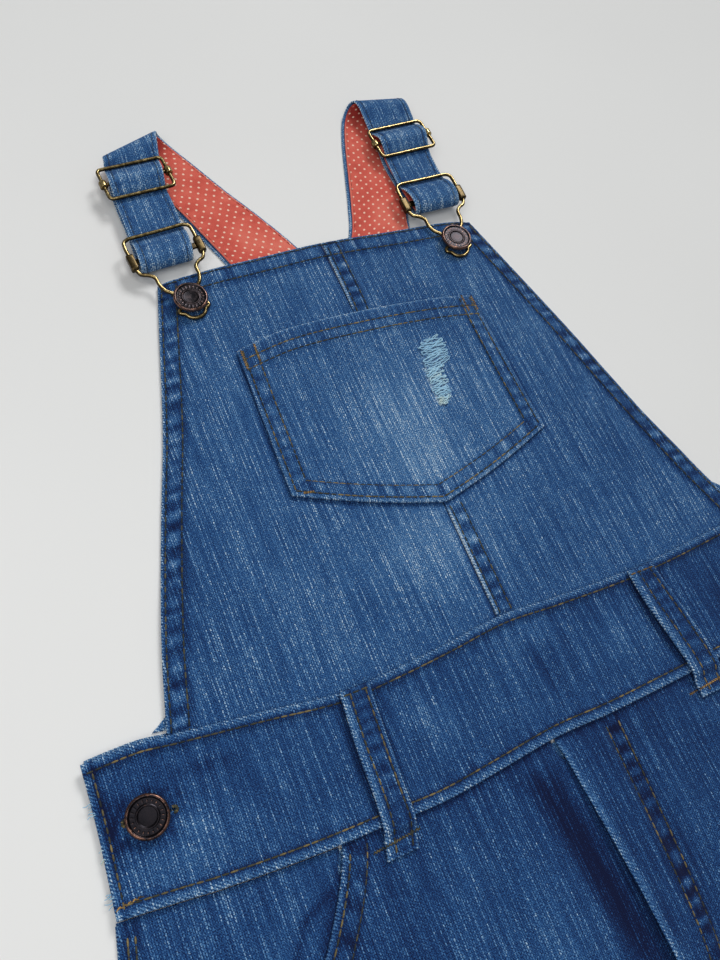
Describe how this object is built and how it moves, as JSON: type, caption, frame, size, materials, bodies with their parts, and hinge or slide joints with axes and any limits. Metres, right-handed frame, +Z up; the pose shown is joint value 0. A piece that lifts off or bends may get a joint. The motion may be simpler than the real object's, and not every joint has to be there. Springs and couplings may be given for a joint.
{
  "type": "bib shortalls",
  "caption": "Denim bib shortalls laid flat on their back, straps folded forward through slide adjusters and hooked on the bib buttons, with a patch pocket, belt loops and side waist buttons.",
  "frame": {"origin": "the middle of the underside, where the garment rests on the table", "axes": "+Y from the leg hems to the shoulders, +X to the viewer's right, +Z up off the table"},
  "size_m": [0.512, 0.6528, 0.0127],
  "materials": {
    "denim": "medium washed indigo denim, worn pale on its folded edges",
    "lining": "coral cotton with small cream dots",
    "wire_brass": "antique brass wire",
    "button_copper": "dark antique copper, brighter at the rim",
    "button_dark": "nearly black copper, brighter at the rim"
  },
  "bodies": {
    "root": {"bib_left": "denim", "bib_right": "denim", "bib_pocket": "denim", "bib_back": "denim", "waistband_front": "denim", "waistband_back": "denim", "belt_loop_left": "denim", "belt_loop_right": "denim", "leg_front_left": "denim", "leg_front_right": "denim", "leg_back_left": "denim", "leg_back_right": "denim", "pocket_facing_left": "denim", "pocket_facing_right": "denim", "strap_left": "denim", "strap_right": "denim", "strap_lining_left": "lining", "strap_lining_right": "lining", "slider_frame_left": "wire_brass", "slider_frame_right": "wire_brass", "slider_bar_left": "wire_brass", "slider_bar_right": "wire_brass", "buckle_wire_left": "wire_brass", "buckle_wire_right": "wire_brass", "buckle_bar_left": "wire_brass", "buckle_bar_right": "wire_brass", "bib_button_left": "button_copper", "bib_button_right": "button_copper", "waist_button_left": "button_dark", "waist_button_right": "button_dark"}
  },
  "joints": []
}
